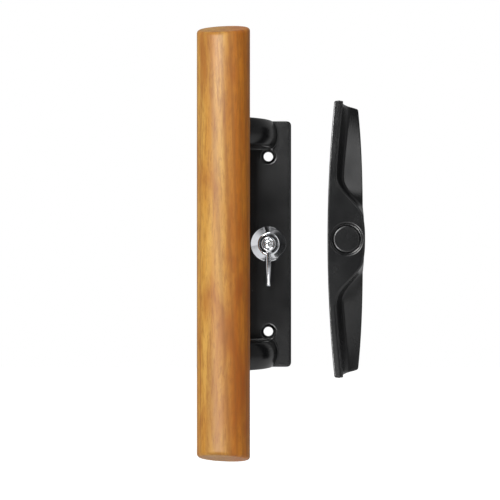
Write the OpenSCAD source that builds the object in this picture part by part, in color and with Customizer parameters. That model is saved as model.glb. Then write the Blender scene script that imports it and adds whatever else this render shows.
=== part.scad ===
// Patio door handle set: an inside handle with a wooden grip and a thumb turn, and an outside pull.
// Every module draws its piece lying on its back: x to the right, y up the door, z out from the door.
// The two halves stand side by side, and stand() turns them upright, with the door's face at Y = 0.

/* [Fixing] */
// Distance between the two fixing screws
hole_pitch = 100; // [95:1:104]
// Diameter of the holes that the fixing screws pass through
screw_hole_d = 5.4; // [4.6:0.1:6]
// Width of the countersink at the mouth of each screw hole
screw_sink_d = 8.4; // [7.4:0.1:9]

/* [Handle plate] */
// Width of the plate
plate_w = 26; // [24:0.5:30]
// Height of the plate
plate_h = 141; // [140:1:148]
// Thickness of the plate
plate_t = 4.5; // [4.2:0.1:6]
// Radius round the plate's front edges
edge_r = 2; // [1:0.1:2.4]
// Radius of the plate's corners
corner_r = 3; // [2.5:0.1:5]
// Depth of the lightening pockets in the back
pocket_depth = 2.2; // [1:0.1:2.4]
// Margin of metal round each lightening pocket
pocket_rim = 2.6; // [2:0.1:3.5]

/* [Arms] */
// Height of each arm, measured up the door
arm_h = 15.4; // [13:0.1:15.6]
// How far the crown of an arm bulges past its corners
arm_bulge = 2.6; // [1:0.1:4]
// Depth of the saddle that the grip lies in
saddle_depth = 2; // [1:0.1:3]
// How far the inside curve's centre lies beyond the grip's centre line
inner_shift = 6; // [4:0.5:8]
// How far the arm's foot runs under the grip, past its centre line
arm_end = 9.5; // [8:0.5:11]

/* [Wooden grip] */
// Length of the grip, measured along its back
grip_l = 239; // [180:1:300]
// Width of the grip
grip_w = 28.6; // [24:0.2:32]
// Depth of the grip, front to back
grip_d = 24; // [20:0.2:28]
// Distance from the spindle's axis to the grip's centre line
grip_offset = 24.8; // [22:0.2:30]
// Finger room between the door and the back of the grip
grip_gap = 32; // [28:0.5:38]
// Slope of the grip's cut ends, so that the front is the shorter side
grip_end_angle = 18; // [0:1:25]
// How far the sloping ends are turned towards the left
grip_end_turn = 8.5; // [0:0.5:12]

/* [Grip screws] */
// Diameter of the screws that hold the grip
grip_screw_d = 4.2; // [3.5:0.1:4.8]
// Diameter of their heads
grip_head_d = 8; // [7:0.1:8.6]
// Height of their heads
grip_head_h = 2.5; // [2:0.1:3]
// How deep they run into the wood
grip_screw_bite = 14; // [10:0.5:18]
// Thickness of the spring washer under each head
lock_washer_t = 0.9; // [0.6:0.1:1.2]
// Depth of the spot face in the arm, below its inside curve
spot_depth = 1.6; // [1:0.1:3]

/* [Thumb turn] */
// Diameter of the rosette
rosette_d = 20.2; // [18:0.2:21]
// Height of the rosette's cone above the plate
rosette_h = 5; // [3:0.2:7]
// Diameter of the rosette's flat top
rosette_top_d = 12.4; // [11.6:0.2:13]
// Diameter of the spigot that locates the rosette in the plate
spigot_d = 12; // [11:0.2:13]
// Diameter of the spindle
spindle_d = 8; // [7.4:0.1:8.4]
// Diameter of the lever's hub at its foot
hub_d = 10.8; // [10.4:0.1:11.6]
// Diameter of the ring at the hub's front
hub_front_d = 7.8; // [7.4:0.1:9]
// Height of the lever's hub
hub_h = 5.8; // [5.4:0.1:7]
// Length of the lever, from the axis to its tip
lever_l = 24.5; // [20:0.5:27]
// Radius of the lever's rounded tip, seen from the side
lever_tip_r = 2.4; // [1.6:0.1:2.8]
// Thickness of the lever's blade at the hub
lever_t = 2.8; // [2.2:0.1:3.4]
// Thickness of the blade at its tip
lever_tip_t = 2; // [1.6:0.1:2.2]
// Across the flats of the square drive between spindle and lever
drive_af = 5; // [4.4:0.1:5.2]
// Height of the square drive
drive_h = 2.8; // [2.2:0.1:3]
// Diameter of the screw that holds the lever
lever_screw_d = 3; // [2.5:0.1:3.2]
// Diameter of that screw's head
lever_head_d = 5.2; // [4.6:0.1:5.6]
// Width of the tailpiece that enters the lock
tail_w = 6.3; // [5:0.1:6.3]
// Thickness of the tailpiece
tail_t = 1.6; // [1.2:0.1:2]
// How far the tailpiece reaches behind the door's face
tail_reach = 40; // [25:1:60]
// Diameter of the pin through the tailpiece
tail_pin_d = 1.6; // [1.2:0.1:2]
// Depth of the pocket in the plate's back that holds the washers and the clip
clip_pocket_depth = 2.5; // [2.4:0.1:2.9]
// Diameter of that pocket
clip_pocket_d = 17.2; // [16.4:0.2:20]
// Thickness of the retaining clip
clip_t = 0.7; // [0.5:0.1:0.8]
// Thickness of the thrust washer
thrust_t = 0.5; // [0.3:0.1:0.6]

/* [Outside pull] */
// Half the length of the pull, measured through the keyhole's axis
pull_half_l = 75.2; // [72:0.1:86]
// Lean of the pull's ends, so that the front is the longer side
pull_end_angle = 5.3; // [0:0.1:12]
// Radius of the pull's ends, seen from the front
pull_end_r = 25; // [20:1:200]
// Height of the pull's boss at its middle
pull_h = 26; // [20:0.5:30]
// How much lower the finger rim is at the pull's ends
pull_fall = 3; // [0:0.1:5]
// Distance from the keyhole's axis to the pull's straight side, at the front
pull_left = 10.6; // [10.4:0.1:12.5]
// How far the straight side leans in towards the door
pull_lean = 1.7; // [0.5:0.1:2]
// Distance from the keyhole's axis to the pull's other side, at its base
pull_right = 11.1; // [10.8:0.1:14]
// How far the straight side bows in towards the ends
pull_left_bow = 4; // [0:0.1:4.6]
// How far the other side bows in towards the ends
pull_right_bow = 3.6; // [0:0.1:5]
// Width of the finger rim where it is narrowest
rim_w = 3; // [2.2:0.1:3.6]
// How much wider the rim is at the pull's ends
rim_flare = 0.8; // [0:0.1:2]
// Radius of the boss's far edge, seen from the front
boss_r = 80; // [60:1:200]
// Distance from the middle at which the boss starts to narrow into the rim
sweep_start = 11; // [9:0.5:12]
// Length over which the boss narrows into the rim
sweep_l = 25; // [23:0.5:30]
// Height of the finger scoop's floor at the ends
scoop_h = 6.5; // [5:0.1:8]
// How far the scoop's floor falls towards the pull's other side
scoop_fall = 2.3; // [0:0.1:2.5]
// Width of the hollow wall between rim and scoop
wall_run = 4.6; // [3.6:0.1:5.6]
// Width of the small ledge under the rim
ledge_w = 1.2; // [0.6:0.1:1.5]
// Depth of that ledge
ledge_drop = 1.3; // [0.8:0.1:1.6]
// Width of the lightening pockets in the pull's back
pull_pocket_w = 8; // [5:0.5:9]
// Diameter of the posts pressed into the pull's back
post_d = 8; // [7:0.1:9]
// How far the posts stand out behind the pull
post_l = 12; // [8:0.5:25]
// Depth of the sockets that the posts are pressed into
socket_depth = 3.5; // [2.5:0.1:3.8]
// Diameter of the tapped holes in the posts
tap_d = 4.2; // [3.2:0.1:5]
// Depth of the tapped holes
tap_depth = 10; // [6:0.5:14]

/* [Keyhole plug] */
// Diameter of the recess round the plug
recess_d = 17.6; // [17:0.1:17.8]
// Depth of the recess
recess_depth = 1.6; // [1:0.1:2.5]
// Diameter of the plug
plug_d = 15.2; // [14.4:0.1:15.6]
// Rounding of the plug's front edge
plug_round = 1.2; // [0.6:0.1:1.4]
// Wall of the plug
plug_wall = 1.5; // [1:0.1:2.2]
// Diameter of the plug's flange
plug_flange_d = 16.2; // [16:0.1:16.4]
// Thickness of the plug's flange
plug_flange_t = 1.4; // [1:0.1:2]
// Height of the flange's seat above the pull's back
plug_seat_h = 9; // [6:0.5:12]
// Thickness of the ring that retains the plug
ring_t = 0.9; // [0.7:0.1:1.2]
// Width of the gap in that ring
ring_gap = 3; // [2:0.5:5]

/* [Layout] */
// Distance from the spindle's axis to the pull's keyhole, side by side
pull_x = 42.9; // [38:0.1:80]
// Height of the pull's keyhole above the spindle's axis
pull_y = 2.6; // [-10:0.1:10]

/* [Hidden] */

// Clearances: a running fit, a gap between parts that turn past each other, and a loose fit
run_gap = 0.05;
face_gap = 0.1;
loose_gap = 0.4;
// Overshoot of a cutting shape past the face that it opens
over = 1;
big = 400;

// Arms: their centres up the door, and the curve that carries them from the plate to the grip
arm_inset = 0.4;
arm_y = (plate_h - arm_h) / 2 - arm_inset;
arm_r = grip_gap - plate_t + saddle_depth;
inner_bite = 0.5;
inner_r = grip_offset + inner_shift - plate_w / 2 + inner_bite;
inner_lift = 1.5;
pad_z = plate_t + inner_lift + sqrt(inner_r * inner_r - inner_shift * inner_shift);
spot_z = pad_z + spot_depth;
grip_z = grip_gap + grip_d / 2;
saddle_gap = 0.1;
grip_facets = 72;

// Thumb turn: heights above the door's face
rosette_rim = 0.8;
rosette_top = plate_t + rosette_h;
hub_z = rosette_top + 0.3;
hub_top = hub_z + hub_h;
drive_gap = 0.1;
web_t = 1;
head_floor = hub_z + drive_h + drive_gap + web_t;
lever_head_h = hub_top - head_floor - 0.2;
lever_thread = 6;
tail_seat = 5.2;
pin_z = 3.6;
clip_z = 0.35;
groove_depth = 0.8;
groove_d = spindle_d - 2 * groove_depth;
// Room between the pocket's wall and the washers, and between that wall and the clip
washer_room = 1.2;
clip_room = 2;
spindle_back = -0.6;
thrust_z = clip_z + clip_t + face_gap / 2;
wave_z = thrust_z + thrust_t + face_gap / 2;
wave_sheet = 0.3;
wave_travel = clip_pocket_depth - wave_z - wave_sheet;

// Outside pull
hub_lip = 0.8;
lip = 0.6;
end_apex = -1;
draft = 0.6;
sections = 62;
plug_front = pull_h - 0.1;
plug_seat = plug_seat_h;
ring_z = plug_seat - plug_flange_t - face_gap / 2 - ring_t;
seat_bore_d = plug_flange_d + 0.2;

module stand() {
    rotate([90, 0, 0]) children();
}

module both_ends() {
    for (side = [1, -1]) scale([1, side, 1]) children();
}

// Plate outline in plan, with round corners, drawn about the spindle's axis
module plate_outline(inset = 0) {
    w = plate_w / 2 - inset;
    h = plate_h / 2 - inset;
    r = corner_r - inset;
    square([2 * (w - r), 2 * h], center = true);
    square([2 * w, 2 * (h - r)], center = true);
    for (x = [-1, 1], y = [-1, 1]) translate([x * (w - r), y * (h - r)]) circle(r = r, $fn = 48);
}

// Cross-section of a slab whose two front edges are rounded
module slab_section(width) {
    translate([-width / 2, 0]) square([width, plate_t - edge_r]);
    translate([-width / 2 + edge_r, 0]) square([width - 2 * edge_r, plate_t]);
    for (side = [-1, 1]) translate([side * (width / 2 - edge_r), plate_t - edge_r]) circle(r = edge_r, $fn = 48);
}

// Plate: its outline, cut to the rounded sections across and along it
module plate_blank() {
    intersection() {
        linear_extrude(plate_t) plate_outline();
        rotate([90, 0, 0]) linear_extrude(big, center = true) slab_section(plate_w);
        rotate([90, 0, 90]) linear_extrude(big, center = true) slab_section(plate_h);
    }
}

// Oval of the grip in cross-section: x across, y out from the door
module grip_section(grow = 0) {
    polygon([for (i = [0 : grip_facets - 1]) let (a = 360 * i / grip_facets)
        [-grip_offset + (grip_w / 2 + grow) * cos(a), grip_z + (grip_d / 2 + grow) * sin(a)]]);
}

// Arm: a band with a crowned outer face, turned through the curve from the plate round to the grip's back
module arm_band() {
    crown_r = (arm_h * arm_h / 4 + arm_bulge * arm_bulge) / (2 * arm_bulge);
    start_r = arm_r / 4;
    translate([-grip_offset, 0, plate_t]) rotate([90, 0, 0]) rotate_extrude(angle = 120, $fn = 96) intersection() {
        translate([start_r, -arm_h / 2]) square([arm_r, arm_h]);
        translate([arm_r - crown_r, 0]) circle(r = crown_r, $fn = 96);
    }
}

module arm() {
    difference() {
        union() {
            arm_band();
            translate([-plate_w / 2, -arm_h / 2, edge_r / 2])
                cube([arm_r - grip_offset + plate_w / 2 - arm_bulge - 0.5, arm_h, plate_t - edge_r / 2 + inner_lift]);
        }
        intersection() {
            translate([-grip_offset - inner_shift, 0, plate_t + inner_lift]) rotate([90, 0, 0])
                cylinder(r = inner_r, h = big, center = true, $fn = 96);
            translate([-big / 2, -big / 2, plate_t + inner_lift - 0.5]) cube(big);
        }
        rotate([90, 0, 0]) linear_extrude(big, center = true) grip_section(saddle_gap);
        translate([-grip_offset - arm_end - big, -big / 2, -big / 2]) cube(big);
    }
}

module screw_hole() {
    sink = (screw_sink_d - screw_hole_d) / 2;
    translate([0, 0, -over]) cylinder(d = screw_hole_d, h = plate_t + 2 * over, $fn = 48);
    translate([0, 0, plate_t - sink]) cylinder(d1 = screw_hole_d, d2 = screw_sink_d, h = sink, $fn = 48);
    translate([0, 0, plate_t]) cylinder(d = screw_sink_d, h = grip_gap, $fn = 48);
}

// Lightening pocket between the spindle and a screw hole, with round corners
module pocket() {
    low = clip_pocket_d / 2 + pocket_rim;
    high = hole_pitch / 2 - screw_sink_d / 2 - pocket_rim;
    w = plate_w / 2 - pocket_rim;
    r = 2;
    translate([0, 0, -over]) linear_extrude(pocket_depth + over) {
        translate([-w, low + r]) square([2 * w, high - low - 2 * r]);
        translate([-w + r, low]) square([2 * (w - r), high - low]);
        for (x = [-1, 1], y = [low + r, high - r]) translate([x * (w - r), y]) circle(r = r, $fn = 32);
    }
}

module handle_casting() {
    color("#1b1c1e") stand() difference() {
        union() {
            plate_blank();
            both_ends() translate([0, arm_y, 0]) arm();
        }
        both_ends() translate([0, hole_pitch / 2, 0]) screw_hole();
        both_ends() pocket();
        both_ends() translate([-grip_offset, arm_y, 0]) {
            cylinder(d = grip_head_d + 2 * loose_gap + 0.6, h = spot_z, $fn = 48);
            cylinder(d = grip_screw_d + loose_gap, h = grip_gap + over, $fn = 48);
        }
        translate([0, 0, -over]) cylinder(d = spigot_d + 2 * run_gap, h = plate_t + 2 * over, $fn = 64);
        translate([0, 0, -over]) cylinder(d = clip_pocket_d, h = clip_pocket_depth + over, $fn = 64);
    }
}

// Half space above the sloping cut at the grip's upper end
module grip_end_cut() {
    middle_y = grip_l / 2 - grip_d / 2 * tan(grip_end_angle);
    translate([-grip_offset, middle_y, grip_z]) rotate([0, -grip_end_turn, 0]) rotate([grip_end_angle, 0, 0])
        translate([-big / 2, 0, -big / 2]) cube(big);
}

module wood_grip() {
    color("#b9803a") stand() difference() {
        rotate([90, 0, 0]) linear_extrude(grip_l + 2 * over, center = true) grip_section();
        both_ends() grip_end_cut();
        both_ends() translate([-grip_offset, arm_y, grip_gap - over])
            cylinder(d = grip_screw_d + 2 * run_gap, h = grip_screw_bite + over, $fn = 48);
    }
}

// Cross-shaped driver recess, cut down from z = 0
module cross_recess(width, depth) {
    for (turn = [0, 90]) rotate(turn) translate([-width / 2, -width / 8, -depth]) cube([width, width / 4, depth + over]);
}

module grip_screws() {
    head_z = spot_z - lock_washer_t - grip_head_h;
    tip_z = grip_gap + grip_screw_bite;
    point = grip_screw_d;
    color("#a9abad") stand() both_ends() translate([-grip_offset, arm_y, 0]) difference() {
        rotate_extrude($fn = 48) polygon([
            [0, head_z], [grip_head_d / 2 - 0.5, head_z], [grip_head_d / 2, head_z + grip_head_h / 3],
            [grip_head_d / 2, head_z + grip_head_h], [grip_screw_d / 2, head_z + grip_head_h],
            [grip_screw_d / 2, tip_z - point], [0.5, tip_z - 0.3], [0, tip_z - 0.3]]);
        translate([0, 0, head_z]) mirror([0, 0, 1]) cross_recess(grip_head_d * 0.55, grip_head_h * 0.6);
    }
}

module grip_lock_washers() {
    gap_w = 1;
    color("#8f9194") stand() both_ends() translate([-grip_offset, arm_y, spot_z - lock_washer_t]) difference() {
        cylinder(d = grip_head_d, h = lock_washer_t, $fn = 48);
        translate([0, 0, -over]) cylinder(d = grip_screw_d + loose_gap, h = lock_washer_t + 2 * over, $fn = 48);
        translate([0, -gap_w / 2, -over]) cube([grip_head_d, gap_w, lock_washer_t + 2 * over]);
    }
}

// Rosette: a cone on a low rim, with a spigot that locates it in the plate and a bore that the spindle runs in
module turn_rosette() {
    color("#cfd2d6") stand() rotate_extrude($fn = 96) polygon([
        [spindle_d / 2 + run_gap, clip_pocket_depth],
        [spigot_d / 2, clip_pocket_depth],
        [spigot_d / 2, plate_t],
        [rosette_d / 2, plate_t],
        [rosette_d / 2, plate_t + rosette_rim],
        [rosette_d / 2 - 0.5, plate_t + rosette_rim + 0.4],
        [rosette_top_d / 2 + 0.4, rosette_top - 0.4],
        [rosette_top_d / 2 - 0.3, rosette_top],
        [spindle_d / 2 + run_gap, rosette_top]]);
}

// Side view of the lever's blade: x is the distance from the axis, y the height above the door
module blade_side() {
    tip_r = lever_tip_r;
    tip_drop = 1.8;
    rim_room = 1.6;
    tip_z = hub_top - tip_drop - tip_r;
    near_z = hub_z + 0.4;
    deep_z = plate_t + rosette_rim + rim_room;
    hull() {
        translate([0, near_z]) square([rosette_d / 2, hub_top - 0.6 - near_z]);
        translate([lever_l * 0.55, near_z]) square([1, hub_top - 1 - near_z]);
        translate([lever_l - tip_r, tip_z]) circle(r = tip_r, $fn = 32);
    }
    hull() {
        translate([rosette_d / 2 + 1.6, deep_z + 1.6]) circle(r = 1.6, $fn = 32);
        translate([lever_l - tip_r, deep_z + tip_r]) circle(r = tip_r, $fn = 32);
        translate([lever_l - tip_r, tip_z]) circle(r = tip_r, $fn = 32);
        translate([rosette_d / 2 + 0.4, near_z]) square([1, 1]);
    }
}

// Plan view of the blade, tapering towards its tip
module blade_plan() {
    hull() {
        translate([0, -lever_t / 2]) square([1, lever_t]);
        translate([lever_l - lever_tip_t / 2, 0]) circle(d = lever_tip_t, $fn = 32);
    }
}

// Hub: a low straight foot, then a cone up to the ring that the screw's head sits in
module lever_hub() {
    foot_h = 1;
    edge = 0.3;
    rotate_extrude($fn = 64) polygon([[0, hub_z], [hub_d / 2 - edge, hub_z], [hub_d / 2, hub_z + edge],
        [hub_d / 2, hub_z + foot_h], [hub_front_d / 2, hub_top - edge], [hub_front_d / 2 - edge, hub_top], [0, hub_top]]);
}

module thumb_lever() {
    color("#cfd2d6") stand() difference() {
        union() {
            lever_hub();
            rotate(-90) intersection() {
                rotate([90, 0, 0]) linear_extrude(big, center = true) blade_side();
                linear_extrude(big / 4) blade_plan();
            }
        }
        translate([-drive_af / 2 - drive_gap / 2, -drive_af / 2 - drive_gap / 2, hub_z - over])
            cube([drive_af + drive_gap, drive_af + drive_gap, drive_h + drive_gap + over]);
        cylinder(d = lever_screw_d + 2 * face_gap, h = big, $fn = 48);
        translate([0, 0, head_floor]) cylinder(d = lever_head_d + 2 * face_gap, h = big, $fn = 48);
    }
}

module lever_screw() {
    color("#b9bcc0") stand() difference() {
        rotate_extrude($fn = 64) polygon([
            [0, lever_thread], [lever_screw_d / 2, lever_thread], [lever_screw_d / 2, head_floor],
            [lever_head_d / 2, head_floor], [lever_head_d / 2, head_floor + lever_head_h * 0.6],
            [lever_head_d / 2 - 0.9, head_floor + lever_head_h], [0, head_floor + lever_head_h]]);
        translate([0, 0, head_floor + lever_head_h]) cross_recess(lever_head_d * 0.62, lever_head_h * 0.6);
    }
}

module turn_spindle() {
    color("#9b9da1") stand() difference() {
        union() {
            translate([0, 0, spindle_back]) cylinder(d = spindle_d, h = hub_z - spindle_back, $fn = 64);
            translate([-drive_af / 2, -drive_af / 2, hub_z - 0.5]) cube([drive_af, drive_af, drive_h + 0.5]);
        }
        translate([0, 0, clip_z]) difference() {
            cylinder(d = spindle_d + over, h = clip_t + face_gap / 2, $fn = 64);
            translate([0, 0, -over]) cylinder(d = groove_d, h = clip_t + 2 * over, $fn = 64);
        }
        translate([-(tail_t + face_gap) / 2, -spindle_d, spindle_back - over])
            cube([tail_t + face_gap, 2 * spindle_d, tail_seat - spindle_back + over + face_gap]);
        translate([0, 0, pin_z]) rotate([0, 90, 0]) cylinder(d = tail_pin_d + run_gap, h = 2 * spindle_d, center = true, $fn = 32);
        translate([0, 0, lever_thread - face_gap]) cylinder(d = lever_screw_d + 2 * run_gap, h = big, $fn = 48);
    }
}

module tailpiece() {
    bevel = 1;
    color("#8f9194") stand() difference() {
        translate([-tail_t / 2, 0, 0]) rotate([90, 0, 90]) linear_extrude(tail_t) polygon([
            [-tail_w / 2, tail_seat], [tail_w / 2, tail_seat], [tail_w / 2, -tail_reach + bevel],
            [tail_w / 2 - bevel, -tail_reach], [-tail_w / 2 + bevel, -tail_reach], [-tail_w / 2, -tail_reach + bevel]]);
        translate([0, 0, pin_z]) rotate([0, 90, 0]) cylinder(d = tail_pin_d + run_gap, h = over + tail_t, center = true, $fn = 32);
    }
}

module tailpiece_pin() {
    color("#77797c") stand() translate([0, 0, pin_z]) rotate([0, 90, 0])
        cylinder(d = tail_pin_d, h = spindle_d - 0.6, center = true, $fn = 32);
}

// Wave washer: a flat ring bent into three waves round its circumference
module wave_washer() {
    n = 72;
    r_in = spindle_d / 2 + 0.35;
    r_out = clip_pocket_d / 2 - washer_room;
    points = [for (i = [0 : n - 1]) let (a = 360 * i / n, z = wave_travel * (1 + cos(3 * a)) / 2)
        each [[r_in, z], [r_out, z], [r_out, z + wave_sheet], [r_in, z + wave_sheet]]];
    corners = [for (i = [0 : len(points) - 1]) let (a = 360 * floor(i / 4) / n)
        [points[i][0] * cos(a), points[i][0] * sin(a), wave_z + points[i][1]]];
    sides = [for (i = [0 : n - 1], k = [0 : 3]) let (j = (i + 1) % n, m = (k + 1) % 4)
        [4 * i + k, 4 * i + m, 4 * j + m, 4 * j + k]];
    color("#a9abad") stand() polyhedron(corners, sides, convexity = 4);
}

module thrust_washer() {
    color("#a9abad") stand() translate([0, 0, thrust_z]) difference() {
        cylinder(d = clip_pocket_d - 2 * washer_room, h = thrust_t, $fn = 64);
        translate([0, 0, -over]) cylinder(d = spindle_d + 2 * face_gap, h = thrust_t + 2 * over, $fn = 64);
    }
}

// Retaining clip: an open ring with three prongs that sit in the spindle's groove
module retaining_clip() {
    color("#77797c") stand() translate([0, 0, clip_z]) linear_extrude(clip_t) difference() {
        circle(d = clip_pocket_d - 2 * clip_room, $fn = 64);
        circle(d = groove_d + 2 * run_gap, $fn = 64);
        for (turn = [40, 140]) rotate(turn) translate([groove_d / 2 + 0.4, 0]) circle(r = 1, $fn = 32);
        translate([-groove_d * 0.4, -clip_pocket_d]) square([groove_d * 0.8, clip_pocket_d]);
    }
}

// Curves of the outside pull. y is the distance up or down from the keyhole.
function smooth(t) = let (u = max(0, min(1, t))) u * u * (3 - 2 * u);
function left_side(y) = -pull_left + pull_left_bow * pow(y / pull_half_l, 2);
function right_side(y) = pull_right - pull_right_bow * pow(abs(y) / pull_half_l, 3);
function front(y) = pull_h - pull_fall * pow(y / pull_half_l, 2);
function swept(y) = smooth((abs(y) - sweep_start) / sweep_l);
function boss_edge(y) = pull_right - draft - y * y / (2 * boss_r);
function rim_line(y) = left_side(y) + rim_w
    + rim_flare * max(0, abs(y) - sweep_start - sweep_l) / (pull_half_l - sweep_start - sweep_l);
function rim_edge(y) = boss_edge(y) + (rim_line(y) - boss_edge(y)) * swept(y);
function inside(x, z, y) = [min(x, right_side(y) - draft * z / front(y)), z];

// Closed outline of the pull at one place along it, as [x, height] from the base's straight side round to its other
// side. The rim steps down to a ledge, and the wall below it starts upright and curves out to the scoop's floor.
function pull_section(y) = let (
    xl = left_side(y), xr = right_side(y), xs = rim_edge(y), h = front(y),
    wall_x = xs + ledge_w + lip / 4, wall_h = h - ledge_drop - lip / 2, hr = scoop_h - scoop_fall)
    concat(
        [[xl + pull_lean, 0], [xl, h - hub_lip], [xl + 0.25, h - 0.25], [xl + hub_lip, h]],
        [[xs - lip, h], inside(xs - lip / 4, h - lip / 2, y), inside(xs + lip / 4, h - ledge_drop, y)],
        [inside(wall_x - lip / 2, h - ledge_drop - 0.05, y)],
        [for (i = [0 : 6]) let (t = 1 - i / 6) inside(wall_x + wall_run * pow(1 - t, 2.5), scoop_h + (wall_h - scoop_h) * t, y)],
        [for (i = [1 : 2]) let (u = i / 3, x = wall_x + wall_run) inside(x + (xr - x) * u, scoop_h - scoop_fall * u, y)],
        [[xr - hub_lip / 4 * swept(y) - draft / 4, hr + 0.05], [xr, hr - hub_lip], [xr, 0]]);

// The pull's body: sections along its length, each leaning and bowed in step with the ends
module pull_body() {
    function reach(x, z) = 1 + (z * tan(pull_end_angle) - pow(x - end_apex, 2) / (2 * pull_end_r)) / pull_half_l;
    stations = [for (i = [0 : sections]) pull_half_l * (2 * i / sections - 1)];
    n = len(pull_section(0));
    points = [for (y = stations) for (p = pull_section(y)) [p[0], y * reach(p[0], p[1]), p[1]]];
    sides = [for (i = [0 : sections - 1], k = [0 : n - 1]) let (m = (k + 1) % n)
        [i * n + k, i * n + m, (i + 1) * n + m, (i + 1) * n + k]];
    first = [[for (k = [n - 1 : -1 : 0]) k]];
    last = [[for (k = [0 : n - 1]) sections * n + k]];
    polyhedron(points, concat(sides, first, last), convexity = 6);
}

// Long pocket with round ends, cut up into the pull's back between two heights
module pull_pocket(from, to) {
    r = pull_pocket_w / 2;
    depth = (scoop_h - scoop_fall) / 2;
    translate([0, 0, -over]) linear_extrude(depth + over) {
        translate([-r, from + r]) square([2 * r, to - from - 2 * r]);
        for (y = [from + r, to - r]) translate([0, y]) circle(r = r, $fn = 32);
    }
}

module pull_casting() {
    rib = 2.5;
    color("#1b1c1e") stand() translate([pull_x, pull_y, 0]) difference() {
        pull_body();
        both_ends() translate([0, hole_pitch / 2, -over])
            cylinder(d = post_d + 2 * run_gap, h = socket_depth + over, $fn = 64);
        both_ends() pull_pocket(seat_bore_d / 2 + rib, hole_pitch / 2 - post_d / 2 - rib);
        both_ends() pull_pocket(hole_pitch / 2 + post_d / 2 + rib, pull_half_l - 2 * rib);
        translate([0, 0, pull_h - recess_depth]) cylinder(d = recess_d, h = recess_depth + over, $fn = 96);
        translate([0, 0, -over]) cylinder(d = plug_d + 2 * run_gap, h = pull_h + 2 * over, $fn = 96);
        translate([0, 0, -over]) cylinder(d = seat_bore_d, h = plug_seat + over, $fn = 96);
    }
}

// Posts: turned pegs pressed into the pull's back, tapped from behind for the fixing screws
module pull_posts() {
    color("#9b9da1") stand() translate([pull_x, pull_y, 0]) both_ends() translate([0, hole_pitch / 2, -post_l]) difference() {
        cylinder(d = post_d, h = post_l + socket_depth, $fn = 64);
        translate([0, 0, -over]) cylinder(d = tap_d, h = tap_depth + over, $fn = 48);
        translate([0, 0, -over]) cylinder(d1 = tap_d + 1 + 2 * over, d2 = tap_d, h = 0.5 + over, $fn = 48);
    }
}

// Plug: a cup with a rounded front, pushed in from behind as far as its flange
module keyhole_plug() {
    r = plug_d / 2;
    color("#17181a") stand() translate([pull_x, pull_y, 0]) rotate_extrude($fn = 96) polygon([
        [0, plug_front - plug_wall], [r - plug_wall, plug_front - plug_wall], [r - plug_wall, plug_seat - plug_flange_t],
        [plug_flange_d / 2, plug_seat - plug_flange_t], [plug_flange_d / 2, plug_seat], [r, plug_seat],
        [r, plug_front - plug_round], [r - plug_round * 0.3, plug_front - plug_round * 0.3], [r - plug_round, plug_front],
        [0, plug_front]]);
}

// Retaining ring: an open ring sprung into the bore behind the plug's flange
module plug_ring() {
    r = seat_bore_d / 2 - run_gap;
    color("#77797c") stand() translate([pull_x, pull_y, ring_z]) linear_extrude(ring_t) difference() {
        circle(r = r, $fn = 64);
        circle(r = r - 1.6, $fn = 64);
        translate([-ring_gap / 2, -2 * r]) square([ring_gap, 2 * r]);
    }
}

handle_casting();
wood_grip();
grip_screws();
grip_lock_washers();
turn_rosette();
thumb_lever();
lever_screw();
turn_spindle();
tailpiece();
tailpiece_pin();
wave_washer();
thrust_washer();
retaining_clip();
pull_casting();
pull_posts();
keyhole_plug();
plug_ring();
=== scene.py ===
import bpy
import numpy as np
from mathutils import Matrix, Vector


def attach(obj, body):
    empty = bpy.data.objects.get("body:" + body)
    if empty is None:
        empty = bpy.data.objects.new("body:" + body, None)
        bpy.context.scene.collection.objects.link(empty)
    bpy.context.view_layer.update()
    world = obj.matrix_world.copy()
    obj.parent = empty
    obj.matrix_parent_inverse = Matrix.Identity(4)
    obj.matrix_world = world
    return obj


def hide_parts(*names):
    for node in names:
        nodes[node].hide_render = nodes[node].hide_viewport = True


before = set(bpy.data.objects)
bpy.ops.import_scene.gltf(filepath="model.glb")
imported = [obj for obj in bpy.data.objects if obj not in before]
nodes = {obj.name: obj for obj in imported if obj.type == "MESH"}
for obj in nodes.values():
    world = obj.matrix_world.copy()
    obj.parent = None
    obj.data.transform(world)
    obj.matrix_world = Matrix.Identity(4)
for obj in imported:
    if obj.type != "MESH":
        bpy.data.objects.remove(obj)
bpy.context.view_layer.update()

MM = 0.001
PULL_X = 42.9
PULL_U = 2.6


# meshes

def upright(points):
    """Points (x, u, h) in millimetres become (x, -h, u) in metres, so that what lies on its back stands up."""
    points = np.asarray(points, dtype=float)
    return np.stack([points[:, 0], -points[:, 2], points[:, 1]], axis=1) * MM


def piece(name, points, faces, body, slot, material, stands_for):
    """A mesh piece of points (x, u, h) and four-cornered faces that rides on a body and stands for CAD nodes."""
    mesh = bpy.data.meshes.new(name)
    faces = np.asarray(faces, dtype=np.int32)
    corners = faces.shape[1]
    mesh.vertices.add(len(points))
    mesh.vertices.foreach_set("co", upright(points).ravel())
    mesh.loops.add(faces.size)
    mesh.loops.foreach_set("vertex_index", faces.ravel())
    mesh.polygons.add(len(faces))
    mesh.polygons.foreach_set("loop_start", np.arange(len(faces), dtype=np.int32) * corners)
    mesh.polygons.foreach_set("use_smooth", np.ones(len(faces), dtype=bool))
    mesh.update(calc_edges=True)
    mesh.validate()
    made = bpy.data.objects.new(name, mesh)
    bpy.context.scene.collection.objects.link(made)
    mesh.materials.append(material)
    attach(made, body)
    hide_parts(*stands_for)
    return made


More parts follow.
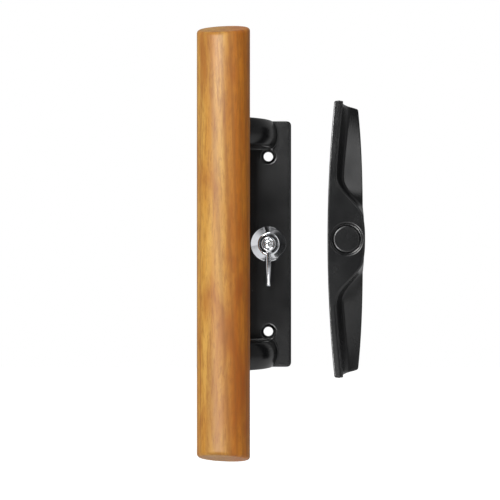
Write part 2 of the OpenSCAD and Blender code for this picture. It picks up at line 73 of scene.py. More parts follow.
def skin(field, low, high, step):
    """Closed skin where field(x, u, h) is zero. Each grid cell that the skin crosses gets a point at the mean of the
    crossings on its edges, each crossed edge joins its four cells with a face, and the points then move to the zero.
    The step is one number, or one for each of x, u and h."""
    step = np.ones(3) * step
    axes = [np.arange(a - 1.5 * s, b + 2.5 * s, s) for a, b, s in zip(low, high, step)]
    x, u, h = np.meshgrid(*axes, indexing="ij", sparse=True)
    value = field(x, u, h)
    inside = value < 0
    shape = tuple(n - 1 for n in value.shape)
    total = np.zeros(shape + (3,))
    count = np.zeros(shape)
    crossings = []
    for axis in range(3):
        near = [slice(None)] * 3
        far = [slice(None)] * 3
        near[axis] = slice(None, -1)
        far[axis] = slice(1, None)
        f0, f1 = value[tuple(near)], value[tuple(far)]
        cross = inside[tuple(near)] != inside[tuple(far)]
        t = np.where(cross, f0 / np.where(cross, f0 - f1, 1), 0)
        place = [np.broadcast_to(g, cross.shape) for g in np.ogrid[tuple(slice(0, n) for n in cross.shape)]]
        place = [place[k] + (t if k == axis else 0) for k in range(3)]
        others = [k for k in range(3) if k != axis]
        for a in (0, 1):
            for b in (0, 1):
                cut = [slice(None)] * 3
                cut[others[0]] = slice(a, cross.shape[others[0]] - 1 + a)
                cut[others[1]] = slice(b, cross.shape[others[1]] - 1 + b)
                cut = tuple(cut)
                hit = cross[cut]
                count += hit
                for k in range(3):
                    total[..., k] += np.where(hit, place[k][cut], 0)
        crossings.append((axis, cross, inside[tuple(near)]))
    used = count > 0
    number = np.full(shape, -1, dtype=np.int64)
    number[used] = np.arange(used.sum())
    start = np.array([a[0] for a in axes])
    points = start + total[used] / count[used][:, None] * step
    faces = []
    for axis, cross, solid in crossings:
        i, j, k = np.nonzero(cross)
        where = [i, j, k]
        p, q = (axis + 1) % 3, (axis + 2) % 3
        keep = (where[p] > 0) & (where[q] > 0) & (where[p] < shape[p]) & (where[q] < shape[q])
        where = [w[keep] for w in where]
        corner = []
        for dp, dq in ((1, 1), (0, 1), (0, 0), (1, 0)):
            spot = list(where)
            spot[p] = spot[p] - dp
            spot[q] = spot[q] - dq
            corner.append(number[tuple(spot)])
        quad = np.stack(corner, axis=1)
        flip = ~solid[tuple(where)]
        quad[flip] = quad[flip][:, ::-1]
        faces.append(quad)
    faces = np.concatenate(faces)
    for _ in range(3):
        c = [points[:, k] for k in range(3)]
        f = field(*c)
        e = step.min() * 0.05
        slope = np.stack([(field(*[c[m] + (e if m == k else 0) for m in range(3)])
                           - field(*[c[m] - (e if m == k else 0) for m in range(3)])) / (2 * e) for k in range(3)], axis=1)
        size = np.maximum((slope ** 2).sum(axis=1), 0.05)
        move = -slope * (f / size)[:, None]
        reach = np.maximum((np.abs(move) / (0.45 * step)).max(axis=1), 1)
        points = points + move / reach[:, None]
    return points, faces


def lathe(profile, centre, around=160):
    """Surface of revolution: each (radius, h) of the profile turned round the axis through centre (x, u).
    The profile runs from the back's axis outwards and round to the front's axis."""
    profile = np.asarray(profile, dtype=float)
    turn = np.linspace(0, 2 * np.pi, around, endpoint=False)
    r, a = np.meshgrid(profile[:, 0], turn, indexing="ij")
    h = np.repeat(profile[:, 1][:, None], around, axis=1)
    points = np.stack([centre[0] + r * np.cos(a), centre[1] + r * np.sin(a), h], axis=2).reshape(-1, 3)
    return points, ring_faces(len(profile), around)


def ring_faces(rows, around, closed=False):
    """Faces of a grid of rows that each close on themselves, with outward faces when rows run from back to front."""
    last = rows if closed else rows - 1
    i, j = np.meshgrid(np.arange(last), np.arange(around), indexing="ij")
    a = (i * around + j).ravel()
    b = (i * around + (j + 1) % around).ravel()
    c = (((i + 1) % rows) * around + (j + 1) % around).ravel()
    d = (((i + 1) % rows) * around + j).ravel()
    return np.stack([a, b, c, d], axis=1)


def rounded_path(corners, radii, steps=6):
    """Polyline through corners, each rounded by an arc-like curve: a quadratic through points one radius away."""
    corners = np.asarray(corners, dtype=float)
    out = [corners[0]]
    for k in range(1, len(corners) - 1):
        before, here, after = corners[k - 1], corners[k], corners[k + 1]
        back, ahead = before - here, after - here
        r = min(radii[k], np.hypot(*back) * 0.48, np.hypot(*ahead) * 0.48)
        p, q = here + back / np.hypot(*back) * r, here + ahead / np.hypot(*ahead) * r
        t = np.linspace(0, 1, steps if r > 0 else 1)[:, None]
        out.extend((1 - t) ** 2 * p + 2 * t * (1 - t) * here + t ** 2 * q)
    out.append(corners[-1])
    return np.array(out)


# joining of fields

def round_and(a, b, r):
    """Both fields at once, with the edge where they meet rounded by r."""
    return np.minimum(-r, np.maximum(a, b)) + np.hypot(np.maximum(r + a, 0), np.maximum(r + b, 0))


def round_or(a, b, r):
    """Either field, with the corner where they meet filled by a fillet of r."""
    return np.maximum(r, np.minimum(a, b)) - np.hypot(np.maximum(r - a, 0), np.maximum(r - b, 0))


def slab(value, low, high):
    return np.maximum(low - value, value - high)


# handle casting

PLATE_W, PLATE_H, PLATE_T = 26.0, 141.0, 4.5
HOLE_U = 50.0
ARM_U, ARM_H, ARM_R, ARM_BULGE = 62.4, 15.4, 29.5, 2.6
GRIP_X, GRIP_H, GRIP_RX, GRIP_RH = -24.8, 44.0, 14.3, 12.0
INNER_X, INNER_H, INNER_R = -30.8, 6.0, 18.3


def casting(x, u, h):
    """Plate, a slab with rounded front edges, joined by a fillet to two arms. An arm is a crowned band that
    follows a quarter turn about the grip's line, hollowed by a second, larger turn, and cut by the grip's oval."""
    v = np.abs(u)
    corner = 3.0
    px, pu = np.abs(x) - PLATE_W / 2 + corner, v - PLATE_H / 2 + corner
    outline = np.hypot(np.maximum(px, 0), np.maximum(pu, 0)) + np.minimum(np.maximum(px, pu), 0) - corner
    plate = round_and(outline, h - PLATE_T, 1.2)
    a = v - ARM_U
    rise = h - PLATE_T
    radial = np.where(rise > 0, np.hypot(x - GRIP_X, rise), x - GRIP_X)
    crown_r = (ARM_H ** 2 / 4 + ARM_BULGE ** 2) / (2 * ARM_BULGE)
    crown = np.hypot(radial - (ARM_R - crown_r), a) - crown_r
    arm = round_and(crown, np.abs(a) - ARM_H / 2, 0.9)
    inner = np.where(h > INNER_H, INNER_R - np.hypot(x - INNER_X, h - INNER_H), INNER_X + INNER_R - x)
    arm = round_and(arm, inner, 1.4)
    arm = round_and(arm, GRIP_X - 9.5 - x, 1.4)
    grip = (np.hypot((x - GRIP_X) / (GRIP_RX + 0.1), (h - GRIP_H) / (GRIP_RH + 0.1)) - 1) * GRIP_RH
    arm = round_and(arm, -grip, 0.35)
    metal = round_or(plate, arm, 0.8)
    metal = round_and(metal, v - PLATE_H / 2, 1.2)
    metal = np.maximum(metal, -h)
    hole = np.hypot(x, v - HOLE_U) - 2.7 - np.clip(h - 3.0, 0, 1.5)
    metal = round_and(metal, -hole * 0.85, 0.3)
    seat = np.hypot(x, u) - 6.05
    metal = np.maximum(metal, -seat)
    clip_pocket = np.maximum(np.hypot(x, u) - 8.6, h - 2.5)
    metal = np.maximum(metal, -clip_pocket)
    back_pocket = round_and(round_and(slab(v, 11.2, 43.2), np.abs(x) - 10.4, 2.0), h - 2.2, 0.6)
    metal = round_and(metal, -back_pocket, 0.3)
    screw = np.hypot(x - GRIP_X, a)
    metal = np.maximum(metal, -(screw - 2.3))
    spot = np.maximum(screw - 4.7, h - SPOT_H)
    return round_and(metal, -spot, 0.25)


SPOT_H = PLATE_T + 1.5 + (INNER_R ** 2 - 6.0 ** 2) ** 0.5 + 1.6


# wooden grip

GRIP_HALF, GRIP_SLANT, GRIP_TURN, GRIP_ROUND = 119.5, np.radians(18.0), np.radians(8.5), 1.8


def grip_surface(around=144, along=90, rounding=10, cap=12):
    """Oval section carried along the grip. Near an end the section is inset along a quarter circle, and the end
    face is that inset oval shrunk to its middle, all set on a plane that leans back and turns a little to the left."""
    turn = np.linspace(0, 2 * np.pi, around, endpoint=False)
    middle = GRIP_HALF - GRIP_RH * np.tan(GRIP_SLANT)

    def end_height(x, h):
        """Height of the cut plane over the section's point (x, h)."""
        slope = np.tan(GRIP_SLANT)
        return middle + (x - GRIP_X) * slope * np.sin(GRIP_TURN) - (h - GRIP_H) * slope * np.cos(GRIP_TURN)

    def ring(inset, drop, shrink=1.0):
        x = GRIP_X + (GRIP_RX - inset) * np.cos(turn) * shrink
        h = GRIP_H + (GRIP_RH - inset) * np.sin(turn) * shrink
        return x, h, end_height(x, h) - drop

    corner = np.linspace(0, np.pi / 2, rounding)
    half = [ring(GRIP_ROUND * (1 - np.cos(f)), GRIP_ROUND * (1 - np.sin(f))) for f in corner]
    half += [ring(GRIP_ROUND, 0.0, s) for s in np.linspace(1, 0.0, cap)[1:-1]]
    x0, h0, top0 = half[0]
    rows = [np.stack([x, -u, h], axis=1) for x, h, u in half[::-1]]
    rows += [np.stack([x0, top0 * t, h0], axis=1) for t in np.linspace(-1, 1, along)[1:-1]]
    rows += [np.stack([x, u, h], axis=1) for x, h, u in half]
    grid = np.stack(rows)
    faces = ring_faces(len(rows), around)[:, ::-1]
    points = grid.reshape(-1, 3)
    low, high = len(points), len(points) + 1
    tip = end_height(GRIP_X, GRIP_H)
    points = np.vstack([points, [[GRIP_X, -tip, GRIP_H], [GRIP_X, tip, GRIP_H]]])
    j = np.arange(0, around, 2)
    base = (len(rows) - 1) * around
    fan_low = np.stack([np.full(len(j), low), j, (j + 1) % around, (j + 2) % around], axis=1)
    fan_high = np.stack([np.full(len(j), high), base + (j + 2) % around, base + (j + 1) % around, base + j], axis=1)
    return points, np.vstack([faces, fan_low, fan_high])


# thumb turn

HUB_H, HUB_TOP, LEVER_L = 9.8, 15.6, 24.5


def lever(x, u, h):
    """Hub, a cone on a low foot with a dished front, joined by a fillet to a blade that deepens towards the door past
    the rosette, thins over its last third and ends in a small round bead."""
    r = np.hypot(x, u)
    hub = round_and((r - 5.4 + 0.3125 * np.maximum(h - 10.8, 0)) / 1.05, h - HUB_TOP, 0.4)
    hub = round_and(hub, HUB_H - h, 0.3)
    s = -u
    half = 1.36 - 0.42 * smooth((s - 12.5) / 9) + 0.16 * np.exp(-((s - 23.3) / 1.1) ** 2)
    top = 15.0 - 1.3 * np.clip((s - 8) / 16, 0, 1) ** 2
    deep = np.clip((s - 9.6) / 3.4, 0, 1)
    bottom = 10.2 - 3.3 * deep * deep * (3 - 2 * deep)
    profile = round_and(np.maximum(h - top, bottom - h), s - LEVER_L, 2.2)
    profile = np.maximum(profile, -s)
    blade = round_and(profile, np.abs(x) - half, 0.85)
    metal = round_or(hub, blade, 0.6)
    metal = np.maximum(metal, h - HUB_TOP)
    dish = np.maximum(r - 2.7, 13.7 - h)
    metal = round_and(metal, -dish, 0.25)
    metal = np.maximum(metal, -(r - 1.6))
    drive = np.maximum(np.maximum(np.abs(x), np.abs(u)) - 2.55, h - 12.7)
    return np.maximum(metal, -drive)


def lever_screw(x, u, h):
    """Domed head on a plain shank, with a cross-shaped recess that narrows downwards."""
    r = np.hypot(x, u)
    head = round_and(r - 2.6, h - 15.2 + 0.06 * r * r, 0.35)
    head = np.maximum(head, 13.7 - h)
    shank = np.maximum(r - 1.5, slab(h, 6.0, 14.0))
    metal = np.minimum(head, shank)
    wide = np.maximum(np.abs(x), np.abs(u)) - 1.65 - 0.4 * (h - 14.9)
    thin = np.minimum(np.abs(x), np.abs(u)) - 0.38 - 0.15 * (h - 14.9)
    cross = np.maximum(np.maximum(wide, thin), 14.2 - h)
    return round_and(metal, -cross, 0.1)


# outside pull

PULL = dict(half=75.2, lean=np.tan(np.radians(5.3)), end_r=35.0, apex=-1.0, tall=26.0, fall=3.0, left=10.6,
            tuck=1.7, right=11.1, left_bow=4.0, right_bow=2.7, boss_r=70.0, rim=3.0, flare=0.8, start=12.5,
            sweep=23.5, scoop=6.5, drop=2.3, run=4.6, ledge=(0.5, 1.2), ledge_drop=1.3, draft=0.6)


def smooth(t):
    t = np.clip(t, 0, 1)
    return t * t * (3 - 2 * t)


def pull(x, u, h):
    """Long block between two bowed sides, under a front that falls to the ends. Beside the finger rim, whose edge
    sweeps in an S from the boss, it steps down to a ledge; the wall below starts upright and curves out to a floor
    that slopes away. The ends are cut last: they lean out towards the front and are bowed in plan."""
    k = PULL
    x = x - PULL_X
    u = u - PULL_U
    v = np.abs(u)
    reach = k["lean"] * h - (x - k["apex"]) ** 2 / (2 * k["end_r"])
    v0 = v / (1 + reach / k["half"])
    share = v0 / k["half"]
    left = -k["left"] + k["left_bow"] * share ** 2
    right = k["right"] - k["right_bow"] * share ** 3
    front = k["tall"] - k["fall"] * share ** 2
    t = np.clip((v0 - k["start"]) / k["sweep"], 0, 1)
    boss = k["right"] - k["draft"] - k["ledge"][0] - 0.15 - v0 ** 2 / (2 * k["boss_r"])
    rim = left + k["rim"] + k["flare"] * np.maximum(0, v0 - k["start"] - k["sweep"]) / (k["half"] - k["start"] - k["sweep"])
    edge = boss + (rim - boss) * smooth(t)
    slant = np.sqrt(1 + ((boss - rim) * 6 * t * (1 - t) / k["sweep"] + v0 / k["boss_r"] * (1 - t)) ** 2)
    sides = np.maximum(left + k["tuck"] * (1 - h / front) - x, x - right + k["draft"] * h / k["tall"])
    body = round_and(sides, h - front, 0.45)
    step_h = front - k["ledge_drop"]
    step = np.maximum((edge - x) / slant, step_h - h)
    body = round_and(body, -step, 0.45)
    wall_x = edge + k["ledge"][0] + (k["ledge"][1] - k["ledge"][0]) * smooth(t) + 0.15
    foot = wall_x + k["run"]
    up = np.clip((h - k["scoop"]) / (step_h - k["scoop"]), 0, 1)
    wall = (wall_x + k["run"] * (1 - up) ** 2.5 - x) / slant
    floor = h - k["scoop"] + k["drop"] * np.clip((x - foot) / np.maximum(right - foot, 1), 0, 1.5)
    body = round_and(body, -round_and(wall, -floor, 0.8), 0.4)
    end = (v - k["half"] - reach) / np.hypot(1, (x - k["apex"]) / k["end_r"])
    body = round_and(body, end, 1.0)
    r = np.hypot(x, u)
    body = round_and(body, -np.maximum(r - 8.8, k["tall"] - 1.6 - h), 0.5)
    body = np.maximum(body, -(r - 7.65))
    body = np.maximum(body, -np.maximum(r - 8.2, h - 9.0))
    body = np.maximum(body, -h)
    post = np.hypot(x, v - 50.0)
    body = np.maximum(body, -np.maximum(post - 4.05, h - 3.5))
    pocket = np.minimum(pill(x, v, 10.7, 43.5), pill(x, v, 56.5, 71.0))
    return round_and(body, -np.maximum(pocket - 4.0, h - 2.1), 0.3)


def pill(x, v, low, high):
    """Distance from the middle line of a slot with round ends."""
    return np.hypot(x, v - np.clip(v, low + 4.0, high - 4.0))


# materials

def shader(name, colour, metallic, roughness, **extra):
    """Principled material with its constant values set on its own sockets."""
    made = bpy.data.materials.new(name)
    made.use_nodes = True
    tree = made.node_tree
    main = tree.nodes["Principled BSDF"]
    main.inputs["Base Color"].default_value = (*colour, 1)
    main.inputs["Metallic"].default_value = metallic
    main.inputs["Roughness"].default_value = roughness
    for key, value in extra.items():
        main.inputs[key.replace("_", " ")].default_value = value
    return made, tree, main


def place(tree, scale=(1, 1, 1), turn=(0, 0, 0), shift=(0, 0, 0)):
    """Object coordinates through a Mapping node."""
    where = tree.nodes.new("ShaderNodeTexCoord")
    mapping = tree.nodes.new("ShaderNodeMapping")
    mapping.inputs["Location"].default_value = shift
    mapping.inputs["Rotation"].default_value = turn
    mapping.inputs["Scale"].default_value = scale
    tree.links.new(where.outputs["Object"], mapping.inputs["Vector"])
    return mapping.outputs["Vector"]


def noise(tree, vector, scale, detail=2.0, rough=0.5, distort=0.0):
    made = tree.nodes.new("ShaderNodeTexNoise")
    made.inputs["Scale"].default_value = scale
    made.inputs["Detail"].default_value = detail
    made.inputs["Roughness"].default_value = rough
    made.inputs["Distortion"].default_value = distort
    tree.links.new(vector, made.inputs["Vector"])
    return made.outputs["Fac"]


def spread(tree, value, low, high, to_low=0.0, to_high=1.0):
    made = tree.nodes.new("ShaderNodeMapRange")
    for key, number in (("From Min", low), ("From Max", high), ("To Min", to_low), ("To Max", to_high)):
        made.inputs[key].default_value = number
    tree.links.new(value, made.inputs["Value"])
    return made.outputs["Result"]


def blend(tree, fac, a, b, mode="MIX"):
    """Colour mix of two colours or sockets."""
    made = tree.nodes.new("ShaderNodeMix")
    made.data_type = "RGBA"
    made.blend_type = mode
    for key, value in ((0, fac), (6, a), (7, b)):
        if isinstance(value, bpy.types.NodeSocket):
            tree.links.new(value, made.inputs[key])
        elif key == 0:
            made.inputs[0].default_value = value
        else:
            made.inputs[key].default_value = (*value, 1)
    return made.outputs[2]


def bump(tree, main, height, distance, strength):
    made = tree.nodes.new("ShaderNodeBump")
    made.inputs["Distance"].default_value = distance
    made.inputs["Strength"].default_value = strength
    tree.links.new(height, made.inputs["Height"])
    tree.links.new(made.outputs["Normal"], main.inputs["Normal"])


def powder_coat(name, colour, roughness=0.25):
    """Satin black powder coat: orange-peel bump, faint cloudy change of gloss and a fine grain."""
    made, tree, main = shader(name, colour, 0.0, roughness, Specular_IOR_Level=0.5)
    vector = place(tree)
    cloud = noise(tree, vector, 60, 3)
    tree.links.new(spread(tree, cloud, 0.3, 0.7, roughness - 0.04, roughness + 0.03), main.inputs["Roughness"])
    grain = noise(tree, vector, 2600, 2, 0.6)
    lighter = tuple(c * 1.7 + 0.0015 for c in colour)
    tree.links.new(blend(tree, spread(tree, grain, 0.35, 0.75), colour, lighter), main.inputs["Base Color"])
    peel = noise(tree, vector, 900, 2, 0.55)
    bump(tree, main, peel, 0.00008, 0.2)
    return made


def varnished(name):
    """Hardwood under satin varnish. The grain is noise drawn out along the length and bent by slower noise, in broad
    bands and in fine streaks; short pores follow it, and patches of deeper colour cross it. Towards the grip's right
    side the colour is multiplied darker and redder, which is painted shade."""
    made, tree, main = shader(name, (0.5, 0.235, 0.055), 0.0, 0.50, Specular_IOR_Level=0.18, Coat_Weight=0.26,
                              Coat_Roughness=0.40)
    sway = tree.nodes.new("ShaderNodeTexNoise")
    sway.inputs["Scale"].default_value = 16
    sway.inputs["Detail"].default_value = 2
    tree.links.new(place(tree, (1, 1, 0.8)), sway.inputs["Vector"])
    lean = tree.nodes.new("ShaderNodeVectorMath")
    lean.operation = "MULTIPLY_ADD"
    lean.inputs[1].default_value = (0.010, 0.010, 0.0)
    tree.links.new(sway.outputs["Color"], lean.inputs[0])
    tree.links.new(place(tree, (1, 1, 0.10), shift=(0.31, 0.17, 0.4)), lean.inputs[2])
    grain = lean.outputs[0]
    band = noise(tree, grain, 210, 3, 0.55)
    streak = noise(tree, grain, 900, 3, 0.6)
    pores = noise(tree, grain, 2600, 2, 0.5)
    patch = noise(tree, place(tree, (1, 1, 0.30), turn=(0.0, 0.12, 0.0)), 62, 3, 0.55, 0.9)
    light, orange, brown = (0.540, 0.295, 0.056), (0.440, 0.190, 0.019), (0.240, 0.080, 0.008)
    colour = blend(tree, spread(tree, band, 0.34, 0.66), light, orange)
    colour = blend(tree, spread(tree, patch, 0.46, 0.66, 0.0, 0.75), colour, (0.335, 0.108, 0.009))
    # Painted shade: from x = -25.5 mm to x = -18 mm the colour ramps to itself multiplied by (0.88, 0.58, 0.22), so
    # the grip's right side is painted darker and redder, as if the light fell off there.
    painted_shade_side = tree.nodes.new("ShaderNodeSeparateXYZ")
    tree.links.new(place(tree), painted_shade_side.inputs[0])
    colour = blend(tree, spread(tree, painted_shade_side.outputs["X"], -0.0255, -0.0180), colour,
                   blend(tree, 1.0, colour, (0.88, 0.58, 0.22), "MULTIPLY"))
    rings = tree.nodes.new("ShaderNodeTexWave")
    rings.wave_type = "RINGS"
    rings.rings_direction = "Z"
    for key, number in (("Scale", 95), ("Distortion", 3.0), ("Detail", 2.0), ("Detail Scale", 0.5)):
        rings.inputs[key].default_value = number
    tree.links.new(place(tree, (1, 1, 0.05), turn=(0.0, 0.7, 0.0), shift=(0.030, 0.062, 0.0)), rings.inputs["Vector"])
    colour = blend(tree, spread(tree, rings.outputs["Fac"], 0.55, 1.0, 0.0, 0.40), colour, brown)
    fleck = noise(tree, place(tree, (1, 1, 0.30)), 620, 3, 0.65)
    colour = blend(tree, spread(tree, fleck, 0.50, 0.68, 0.0, 0.35), colour, brown)
    colour = blend(tree, spread(tree, streak, 0.50, 0.70, 0.0, 0.60), colour, brown)
    colour = blend(tree, spread(tree, pores, 0.64, 0.78, 0.0, 0.45), colour, (0.150, 0.050, 0.010))
    tree.links.new(colour, main.inputs["Base Color"])
    tree.links.new(spread(tree, streak, 0.3, 0.7, 0.46, 0.56), main.inputs["Roughness"])
    bump(tree, main, streak, 0.00005, 0.25)
    return made


def metal(name, colour, roughness, scratch=0.03, stretch=(1, 1, 1), scale=700):
    """Plated or polished metal: bare colour with a slow change of gloss and fine drawn marks."""
    made, tree, main = shader(name, colour, 1.0, roughness)
    vector = place(tree, stretch)
    marks = noise(tree, vector, scale, 3, 0.6)
    slow = noise(tree, place(tree), 90, 2)
    low = max(roughness - scratch, 0.02)
    tree.links.new(spread(tree, slow, 0.3, 0.7, low, roughness + scratch), main.inputs["Roughness"])
    tree.links.new(blend(tree, spread(tree, marks, 0.35, 0.7, 0.0, 0.35), colour, tuple(c * 0.82 for c in colour)),
                   main.inputs["Base Color"])
    bump(tree, main, marks, 0.00002, 0.05)
    return made


black = powder_coat("black_powder_coat", (0.0030, 0.0032, 0.0036))
plug_black = powder_coat("plug_black_coat", (0.0026, 0.0028, 0.0031), 0.26)
wood = varnished("varnished_hardwood")
chrome = metal("polished_chrome", (0.78, 0.79, 0.82), 0.12, 0.02)
screw_steel = metal("plated_screw_steel", (0.66, 0.67, 0.68), 0.24, 0.06)
zinc = metal("zinc_plated_steel", (0.60, 0.59, 0.57), 0.34, 0.08, (1, 0.1, 1))
spring = metal("oiled_spring_steel", (0.33, 0.33, 0.34), 0.30, 0.06)


# pieces

piece("door_plate_and_arms", *skin(casting, (-35, -71, 0), (14, 71, 36), 0.46),
      "fixed_parts", "black_coat", black, ["handle_casting"])
piece("varnished_grip", *grip_surface(), "fixed_parts", "varnished_wood", wood, ["wood_grip"])
piece("polished_lever", *skin(lever, (-5.5, -24.6, 6.6), (5.5, 5.5, 15.7), 0.13),
      "thumb_turn", "chrome_trim", chrome, ["thumb_lever"])
piece("cross_head_screw", *skin(lever_screw, (-2.7, -2.7, 5.9), (2.7, 2.7, 15.4), 0.1),
      "thumb_turn", "plated_steel", screw_steel, ["lever_screw"])
piece("black_pull", *skin(pull, (PULL_X - 11, PULL_U - 79, 0), (PULL_X + 11, PULL_U + 79, 27), (0.34, 0.62, 0.34)),
      "fixed_parts", "black_coat", black, ["pull_casting"])

rosette = rounded_path(
    [(4.05, 2.5), (6.0, 2.5), (6.0, 4.5), (10.1, 4.5), (10.1, 5.3), (9.6, 5.75), (6.55, 9.15), (5.9, 9.5), (4.05, 9.5), (4.05, 2.5)],
    [0, 0.2, 0.1, 0.15, 0.4, 0.5, 0.7, 0.3, 0.2, 0], 6)
rosette_points, _ = lathe(rosette[:-1], (0, 0))
piece("chrome_rosette", rosette_points, ring_faces(len(rosette) - 1, 160, closed=True),
      "fixed_parts", "chrome_trim", chrome, ["turn_rosette"])

plug = rounded_path(
    [(0.0, 24.4), (6.1, 24.4), (6.1, 7.6), (8.1, 7.6), (8.1, 9.0), (7.6, 9.0), (7.6, 25.9), (0.0, 25.9)],
    [0, 0.6, 0.2, 0.2, 0.1, 0.1, 1.3, 0], 9)
plug[0, 0] = plug[-1, 0] = 0.02
piece("keyhole_cap", *lathe(plug, (PULL_X, PULL_U)), "fixed_parts", "black_coat", plug_black, ["keyhole_plug"])


def softened(node, body, material, width=0.12, angle=30.0):
    """Copy of a CAD node with its loose triangles joined, flat areas merged, and its edges bevelled by width."""
    import bmesh
    shape = bmesh.new()
    shape.from_mesh(nodes[node].data)
    bmesh.ops.remove_doubles(shape, verts=shape.verts, dist=1e-6)
    bmesh.ops.dissolve_limit(shape, angle_limit=np.radians(1.0), verts=shape.verts, edges=shape.edges)
    bmesh.ops.recalc_face_normals(shape, faces=shape.faces)
    mesh = bpy.data.meshes.new(node + "_soft")
    shape.to_mesh(mesh)
    shape.free()
    made = bpy.data.objects.new(node + "_soft", mesh)
    bpy.context.scene.collection.objects.link(made)
    mesh.materials.clear()
    mesh.materials.append(material)
    mesh.polygons.foreach_set("use_smooth", np.ones(len(mesh.polygons), dtype=bool))
    mesh.set_sharp_from_angle(angle=np.radians(angle))
    edge = made.modifiers.new("edge", "BEVEL")
    edge.width = width * MM
    edge.segments = 2
    edge.limit_method = "ANGLE"
    edge.angle_limit = np.radians(40)
    edge.harden_normals = True
    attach(made, body)
    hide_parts(node)


for node, body, slot, material in (
        ("grip_screws", "fixed_parts", "plated_steel", screw_steel),
        ("grip_lock_washers", "fixed_parts", "spring_steel", spring),
        ("thrust_washer", "fixed_parts", "spring_steel", spring),
        ("pull_posts", "fixed_parts", "plated_steel", zinc),
        ("plug_ring", "fixed_parts", "spring_steel", spring),
        ("turn_spindle", "thumb_turn", "plated_steel", zinc),
        ("tailpiece", "thumb_turn", "plated_steel", zinc),
        ("tailpiece_pin", "thumb_turn", "spring_steel", spring),
        ("retaining_clip", "thumb_turn", "spring_steel", spring)):
    softened(node, body, material)
nodes["wave_washer"].data.materials.clear()
nodes["wave_washer"].data.materials.append(spring)


# floor, light and camera

def lamp(name, where, target, size, watts):
    data = bpy.data.lights.new(name, "AREA")
    data.shape = "RECTANGLE"
    data.size, data.size_y = size
    data.energy = watts
    made = bpy.data.objects.new(name, data)
    made.location = where
    made.rotation_euler = (Vector(target) - Vector(where)).to_track_quat("-Z", "Y").to_euler()
    bpy.context.scene.collection.objects.link(made)
    return made


lamp("key_softbox", (-0.55, -0.95, 0.16), (0, -0.02, 0), (0.28, 1.2), 8.6)
lamp("low_fill", (-0.30, -0.85, -0.50), (0, 0, -0.03), (0.9, 0.5), 1.6)
for name, where, watts in (("top_card", (-0.14, -0.45, 0.20), 2.5), ("bottom_card", (-0.14, -0.45, -0.20), 1.5)):
    lamp(name, where, (0.01, 0, 0), (0.20, 0.12), watts).visible_diffuse = False
lamp("right_strip", (0.52, -0.80, 0.28), (0.04, 0, 0), (0.20, 0.7), 1.3)
lamp("top_fill", (-0.10, -0.35, 0.80), (-0.02, 0, 0.1), (0.4, 0.4), 2.0)

floor_mesh = bpy.data.meshes.new("studio_floor")
floor_mesh.from_pydata([(-3, -3, -0.36), (3, -3, -0.36), (3, 3, -0.36), (-3, 3, -0.36)], [], [(0, 1, 2, 3)])
floor = bpy.data.objects.new("studio_floor", floor_mesh)
bpy.context.scene.collection.objects.link(floor)
paper = bpy.data.materials.new("white_paper")
paper.use_nodes = True
tree = paper.node_tree
tree.nodes.clear()
out = tree.nodes.new("ShaderNodeOutputMaterial")
matt = tree.nodes.new("ShaderNodeBsdfDiffuse")
matt.inputs["Color"].default_value = (0.85, 0.85, 0.85, 1)
glow = tree.nodes.new("ShaderNodeEmission")
glow.inputs["Color"].default_value = (1, 1, 1, 1)
ray = tree.nodes.new("ShaderNodeLightPath")
seen = tree.nodes.new("ShaderNodeMath")
seen.operation = "MULTIPLY"
seen.inputs[1].default_value = 0.2
tree.links.new(ray.outputs["Is Glossy Ray"], seen.inputs[0])
share = tree.nodes.new("ShaderNodeMath")
share.operation = "MULTIPLY_ADD"
share.inputs[1].default_value = 0.8
tree.links.new(ray.outputs["Is Camera Ray"], share.inputs[0])
tree.links.new(seen.outputs[0], share.inputs[2])
tree.links.new(share.outputs[0], glow.inputs["Strength"])
both_light = tree.nodes.new("ShaderNodeAddShader")
tree.links.new(matt.outputs[0], both_light.inputs[0])
tree.links.new(glow.outputs[0], both_light.inputs[1])
tree.links.new(both_light.outputs[0], out.inputs["Surface"])
floor_mesh.materials.append(paper)

world = bpy.data.worlds.new("white_studio")
bpy.context.scene.world = world
world.use_nodes = True
tree = world.node_tree
tree.nodes.clear()
out = tree.nodes.new("ShaderNodeOutputWorld")
sky = tree.nodes.new("ShaderNodeBackground")
sky.inputs["Color"].default_value = (1, 1, 1, 1)
ray = tree.nodes.new("ShaderNodeLightPath")
direction = tree.nodes.new("ShaderNodeTexCoord")


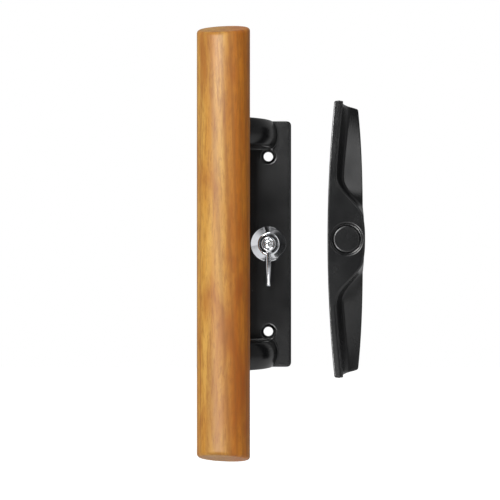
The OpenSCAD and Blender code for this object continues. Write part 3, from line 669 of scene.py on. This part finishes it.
def patch(towards, start, end, low, high):
    """Brightness that rises smoothly from low to high as a direction turns towards the given one: start and end are
    the cosines of the angle between them."""
    facing = tree.nodes.new("ShaderNodeVectorMath")
    facing.operation = "DOT_PRODUCT"
    facing.inputs[1].default_value = Vector(towards).normalized()
    tree.links.new(direction.outputs["Generated"], facing.inputs[0])
    made = tree.nodes.new("ShaderNodeMapRange")
    made.interpolation_type = "SMOOTHSTEP"
    for key, number in (("From Min", start), ("From Max", end), ("To Min", low), ("To Max", high)):
        made.inputs[key].default_value = number
    tree.links.new(facing.outputs["Value"], made.inputs["Value"])
    return made.outputs["Result"]


def added(*values):
    total = values[0]
    for value in values[1:]:
        made = tree.nodes.new("ShaderNodeMath")
        tree.links.new(total, made.inputs[0])
        tree.links.new(value, made.inputs[1])
        total = made.outputs[0]
    return total


def choose(switch, off, on):
    made = tree.nodes.new("ShaderNodeMix")
    tree.links.new(switch, made.inputs[0])
    for key, value in ((2, off), (3, on)):
        if isinstance(value, bpy.types.NodeSocket):
            tree.links.new(value, made.inputs[key])
        else:
            made.inputs[key].default_value = value
    return made.outputs[0]


diffuse = patch((-0.72, -0.62, 0.31), -0.55, 0.65, 0.15, 0.50)
glossy = added(patch((-0.93, -0.25, 0.05), 0.45, 0.95, 0.06, 0.85), patch((0, 0.1, 1), 0.3, 0.9, 0.0, 0.25),
               patch((0, 1, 0), 0.0, 0.7, 0.0, 0.30), patch((0.95, 0.0, -0.1), 0.6, 0.97, 0.0, 0.22))
strength = choose(ray.outputs["Is Glossy Ray"], diffuse, glossy)
strength = choose(ray.outputs["Is Transmission Ray"], strength, 1.0)
strength = choose(ray.outputs["Is Camera Ray"], strength, 1.0)
tree.links.new(strength, sky.inputs["Strength"])
tree.links.new(sky.outputs[0], out.inputs["Surface"])

lens = bpy.data.cameras.new("photo_camera")
lens.sensor_width = 36
lens.lens = 88.4
lens.clip_start = 0.01
camera = bpy.data.objects.new("photo_camera", lens)
camera.location = (-0.0105, -0.7045, -0.0034)
camera.rotation_euler = (np.pi / 2, 0, 0)
bpy.context.scene.collection.objects.link(camera)
bpy.context.scene.camera = camera
bpy.context.scene.view_settings.view_transform = "Standard"
